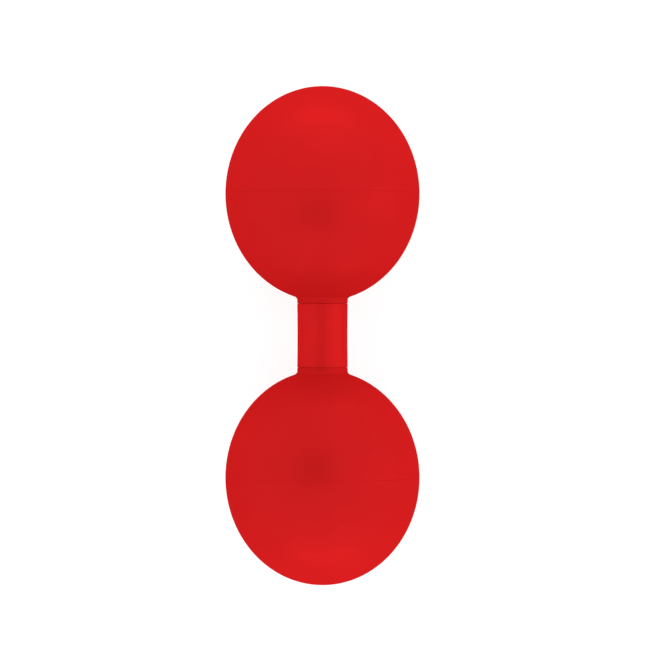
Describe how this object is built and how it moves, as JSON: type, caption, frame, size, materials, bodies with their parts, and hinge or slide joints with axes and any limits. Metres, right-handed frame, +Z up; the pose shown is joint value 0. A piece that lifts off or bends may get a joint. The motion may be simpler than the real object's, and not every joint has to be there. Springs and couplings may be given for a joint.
{
  "type": "diabolo",
  "caption": "Bulb-ended diabolo: closed egg-shaped red bulbs on a straight neck whose string sleeve freewheels on a bearing axle.",
  "frame": {"origin": "middle of the axle, halfway along the string track", "axes": "+Y along the axle towards the rear bulb, which is the one away from the player; +Z up with the axle level, as it hangs in the string"},
  "size_m": [0.08, 0.2056, 0.08],
  "materials": {
    "red_shell": "smooth moulded ABS, satin gloss, signal red",
    "red_sleeve": "turned nylon, satin gloss, signal red, string-polished",
    "seal_rubber": "black nitrile rubber",
    "bush_aluminium": "turned and milled",
    "zinc_steel": "bright zinc plated",
    "axle_steel": "ground and hardened",
    "bearing_steel": "ground bearing steel",
    "shield_steel": "pressed sheet steel",
    "insert_nylon": "natural nylon",
    "cage_nylon": "glass-filled nylon"
  },
  "bodies": {
    "sleeve": {"axle_sleeve": "red_sleeve", "rear_bearing_outer_ring": "bearing_steel", "front_bearing_outer_ring": "bearing_steel", "rear_bearing_shields": "shield_steel", "front_bearing_shields": "shield_steel", "clutch_shell": "shield_steel", "clutch_cage": "cage_nylon", "clutch_rollers": "bearing_steel", "clutch_springs": "shield_steel"},
    "cups": {"axle_shaft": "axle_steel", "rear_cup": "red_shell", "rear_hub_bush": "bush_aluminium", "rear_washer": "zinc_steel", "rear_lock_washer": "zinc_steel", "rear_locknut": "zinc_steel", "rear_nut_insert": "insert_nylon", "rear_bearing_inner_ring": "bearing_steel", "front_cup": "red_shell", "front_hub_bush": "bush_aluminium", "front_washer": "zinc_steel", "front_lock_washer": "zinc_steel", "front_locknut": "zinc_steel", "front_nut_insert": "insert_nylon", "front_bearing_inner_ring": "bearing_steel"},
    "rear_ball_set": {"rear_bearing_balls": "bearing_steel", "rear_bearing_cage": "cage_nylon"},
    "front_ball_set": {"front_bearing_balls": "bearing_steel", "front_bearing_cage": "cage_nylon"},
    "rear_dome": {"rear_dome": "red_shell", "rear_seal_ring": "seal_rubber"},
    "front_dome": {"front_dome": "red_shell", "front_seal_ring": "seal_rubber"}
  },
  "joints": [
    {"name": "cup_spin", "type": "hinge", "parent": "sleeve", "child": "cups", "pos_m": [0, 0, 0], "axis": [0, 1, 0], "continuous": true},
    {"name": "rear_ball_orbit", "type": "hinge", "parent": "sleeve", "child": "rear_ball_set", "pos_m": [0, 0.01153, 0], "axis": [0, 1, 0], "continuous": true},
    {"name": "front_ball_orbit", "type": "hinge", "parent": "sleeve", "child": "front_ball_set", "pos_m": [0, -0.01153, 0], "axis": [0, 1, 0], "continuous": true},
    {"name": "rear_dome_pull", "type": "slide", "parent": "cups", "child": "rear_dome", "axis": [0, 1, 0], "range_m": [0, 0.05]},
    {"name": "front_dome_pull", "type": "slide", "parent": "cups", "child": "front_dome", "axis": [0, -1, 0], "range_m": [0, 0.05]}
  ],
  "couplings": [
    {"joint": "rear_ball_orbit", "follows": "cup_spin", "ratio": 0.41667},
    {"joint": "front_ball_orbit", "follows": "cup_spin", "ratio": 0.41667}
  ]
}
